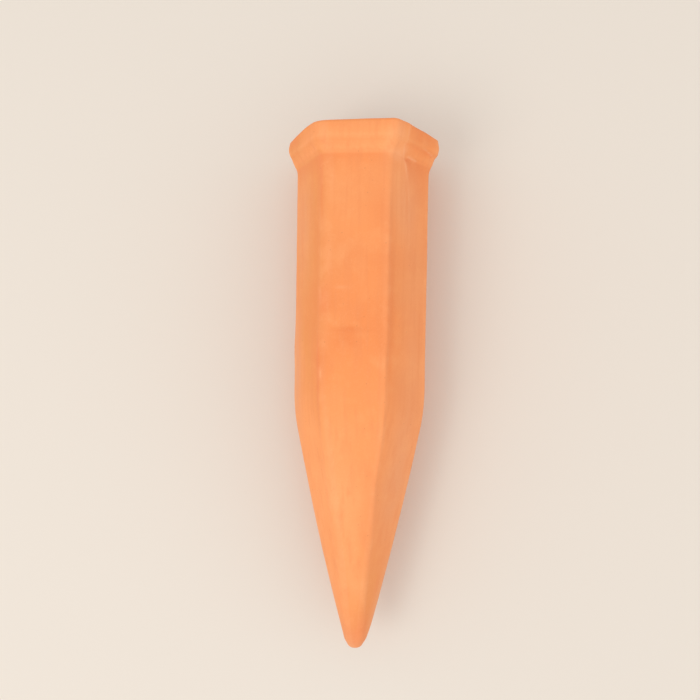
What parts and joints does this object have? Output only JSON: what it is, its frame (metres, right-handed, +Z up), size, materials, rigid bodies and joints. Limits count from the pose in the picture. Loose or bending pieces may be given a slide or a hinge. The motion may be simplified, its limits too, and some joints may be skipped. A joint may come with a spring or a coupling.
{
  "type": "watering spike",
  "caption": "Hollow six-sided terracotta watering spike: flared mouth with a round seat for an upturned bottle, straight body, soft shoulder and blunt tapered point.",
  "frame": {"origin": "on the surface the spike lies on, under the middle of its box", "axes": "+Y along the spike from its point to its mouth, level with the surface; +Z up; a pair of flats faces up and down"},
  "size_m": [0.047, 0.1556, 0.0412],
  "materials": {
    "terracotta": "matt unglazed fired clay, faintly mottled"
  },
  "bodies": {
    "root": {"spike_shell": "terracotta"}
  },
  "joints": []
}
